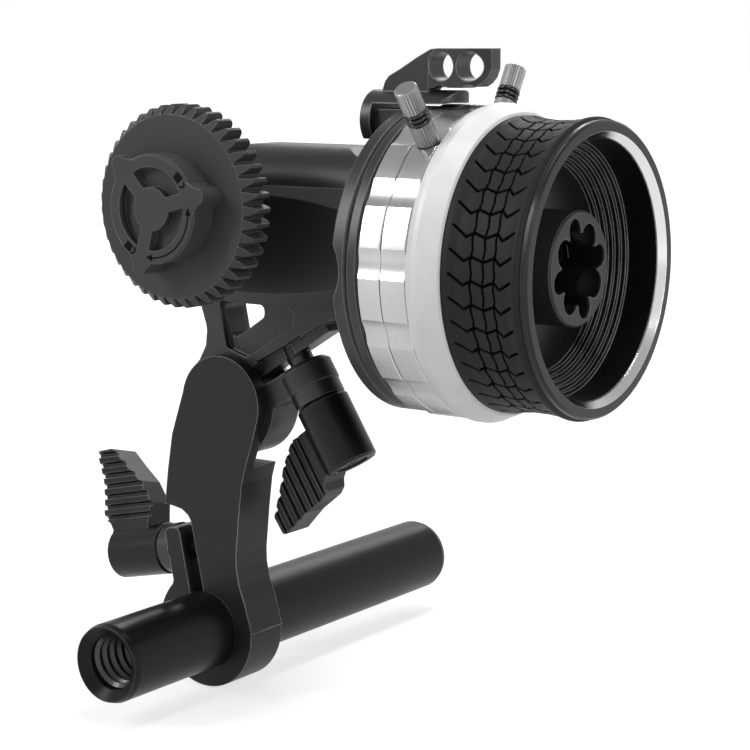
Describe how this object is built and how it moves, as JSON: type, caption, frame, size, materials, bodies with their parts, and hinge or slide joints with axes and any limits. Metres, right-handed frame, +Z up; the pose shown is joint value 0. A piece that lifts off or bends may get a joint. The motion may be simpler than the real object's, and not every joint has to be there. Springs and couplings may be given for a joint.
{
  "type": "follow focus unit",
  "caption": "Follow focus: a dished rubber hand wheel with two scalloped stop rings turns a lens gear through a small gearbox on a swinging bracket, clamped to a round rod by spring levers.",
  "frame": {"origin": "on the hand wheel's axis, in the plane through the lens gear's axis and the rod's direction", "axes": "+X along the hand wheel's axis toward its open mouth; the lens gear's axis and the rod run along Y, and the gear's marked face looks toward -Y; +Z up"},
  "size_m": [0.1163, 0.1024, 0.1226],
  "materials": {
    "black_anodised": "satin",
    "black_plastic": "matte",
    "silver_polished": "polished",
    "steel": "brushed",
    "black_steel": "black oxide",
    "brass": "machined",
    "white_plastic": "satin",
    "rubber": "matte"
  },
  "bodies": {
    "rod": {"rod": "black_anodised"},
    "arm": {"clamp_arm": "black_anodised", "pivot_washer": "steel", "pivot_screw": "steel"},
    "rod_stud": {"rod_clamp_stud": "black_steel", "rod_lever_screw": "black_steel"},
    "rod_lever": {"rod_lever": "black_anodised", "rod_lever_spring": "steel"},
    "head": {"swing_bracket": "black_anodised", "gearbox_housing": "black_anodised", "bearing_plate": "steel", "rear_cover": "black_anodised", "gear_bearings": "steel", "wheel_bearings": "steel", "stop_flange": "black_anodised", "stop_cover": "black_anodised", "flange_screws": "steel", "stop_arm": "black_anodised", "stop_arm_screw": "black_steel"},
    "swing_stud": {"swing_clamp_stud": "black_steel", "swing_lever_screw": "black_steel"},
    "swing_lever": {"swing_lever": "black_anodised", "swing_lever_spring": "steel"},
    "wheel": {"wheel_shaft": "steel", "wheel_bevel_gear": "brass", "wheel_core": "black_anodised", "crank_hub": "black_anodised", "wheel_screw": "steel", "marking_ring": "white_plastic", "rubber_grip": "rubber", "rim_ring": "silver_polished"},
    "idler": {"idler_shaft": "steel", "idler_bevel_gear": "brass", "idler_spur_gear": "brass"},
    "drive": {"output_shaft": "steel", "output_spur_gear": "brass", "lens_gear": "black_plastic"},
    "cap": {"gear_lock_cap": "black_plastic"},
    "ring_a": {"stop_ring_a": "silver_polished"},
    "screw_a": {"stop_screw_a": "silver_polished", "stop_orings_a": "rubber"},
    "ring_b": {"stop_ring_b": "silver_polished"},
    "screw_b": {"stop_screw_b": "silver_polished", "stop_orings_b": "rubber"}
  },
  "joints": [
    {"name": "arm_along_rod", "type": "slide", "parent": "rod", "child": "arm", "axis": [0, 1, 0], "range_m": [-0.026, 0.062]},
    {"name": "rod_screw_turn", "type": "hinge", "parent": "arm", "child": "rod_stud", "pos_m": [-0.01496, -0.00225, -0.05889], "axis": [-0.9778, 0, -0.2096], "range_deg": [-180, 180]},
    {"name": "rod_lever_pull", "type": "slide", "parent": "rod_stud", "child": "rod_lever", "axis": [-0.9778, 0, -0.2096], "range_m": [0, 0.0025], "stiffness_N_per_m": 400, "springref_m": -0.001},
    {"name": "head_swing", "type": "hinge", "parent": "arm", "child": "head", "pos_m": [-0.00735, 0, -0.0296], "axis": [0, 1, 0], "range_deg": [-60, 8]},
    {"name": "swing_screw_turn", "type": "hinge", "parent": "head", "child": "swing_stud", "pos_m": [0.00681, 0, -0.02075], "axis": [0.5299, 0, -0.848], "range_deg": [-90, 90]},
    {"name": "swing_lever_pull", "type": "slide", "parent": "swing_stud", "child": "swing_lever", "axis": [0.5299, 0, -0.848], "range_m": [0, 0.0025], "stiffness_N_per_m": 400, "springref_m": -0.001},
    {"name": "wheel_turn", "type": "hinge", "parent": "head", "child": "wheel", "pos_m": [0, 0, 0], "axis": [1, 0, 0], "range_deg": [-24, 14]},
    {"name": "idler_turn", "type": "hinge", "parent": "head", "child": "idler", "pos_m": [0, 0, 0], "axis": [0, 1, 0], "range_deg": [-24, 14]},
    {"name": "drive_turn", "type": "hinge", "parent": "head", "child": "drive", "pos_m": [0, 0, 0.0094], "axis": [0, 1, 0], "range_deg": [-14, 24]},
    {"name": "cap_lock_turn", "type": "hinge", "parent": "drive", "child": "cap", "pos_m": [0, -0.03, 0.0094], "axis": [0, 1, 0], "range_deg": [-60, 0]},
    {"name": "ring_a_turn", "type": "hinge", "parent": "wheel", "child": "ring_a", "pos_m": [0.0413, 0, 0], "axis": [1, 0, 0], "range_deg": [-120, 0]},
    {"name": "screw_a_turn", "type": "hinge", "parent": "ring_a", "child": "screw_a", "pos_m": [0.0413, 0, 0], "axis": [0, 0.5, 0.866], "range_deg": [-90, 90]},
    {"name": "ring_b_turn", "type": "hinge", "parent": "wheel", "child": "ring_b", "pos_m": [0.0461, 0, 0], "axis": [1, 0, 0], "range_deg": [0, 120]},
    {"name": "screw_b_turn", "type": "hinge", "parent": "ring_b", "child": "screw_b", "pos_m": [0.0461, 0, 0], "axis": [0, -0.6088, 0.7934], "range_deg": [-90, 90]}
  ],
  "couplings": [
    {"joint": "idler_turn", "follows": "wheel_turn", "ratio": 1},
    {"joint": "drive_turn", "follows": "wheel_turn", "ratio": -1}
  ]
}
